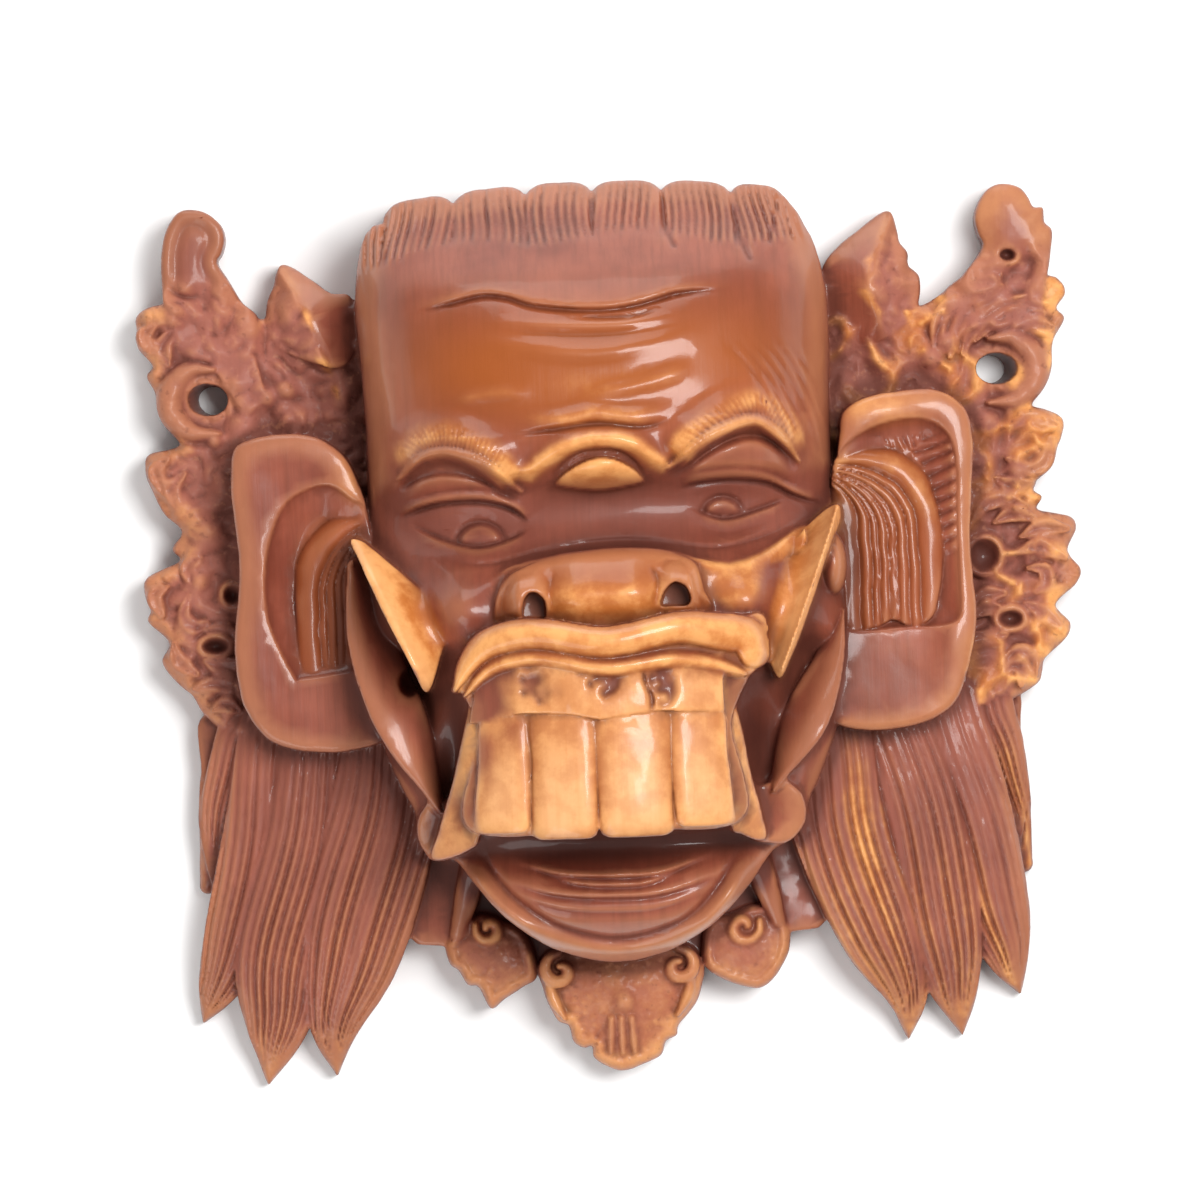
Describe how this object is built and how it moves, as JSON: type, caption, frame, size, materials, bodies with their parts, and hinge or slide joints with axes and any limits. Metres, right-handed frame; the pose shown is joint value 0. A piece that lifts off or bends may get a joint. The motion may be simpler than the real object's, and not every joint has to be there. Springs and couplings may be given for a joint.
{
  "type": "carved guardian mask",
  "caption": "Carved wooden guardian mask with bared teeth, fluted ears, pierced wing ornament, horns and pointed locks of hair, flat and hollow at the back for hanging on a wall.",
  "frame": {"origin": "middle of the outline, on the plane of the flat back", "axes": "+X to the right of the face as it is seen, +Y up the face to the hair, +Z out of the face, so the mask lies on its back"},
  "size_m": [0.298, 0.2825, 0.1204],
  "materials": {
    "carved_wood": "reddish-brown stained hardwood under satin lacquer, worn to golden orange along the raised carving"
  },
  "bodies": {
    "root": {"carved_mask": "carved_wood"}
  },
  "joints": []
}
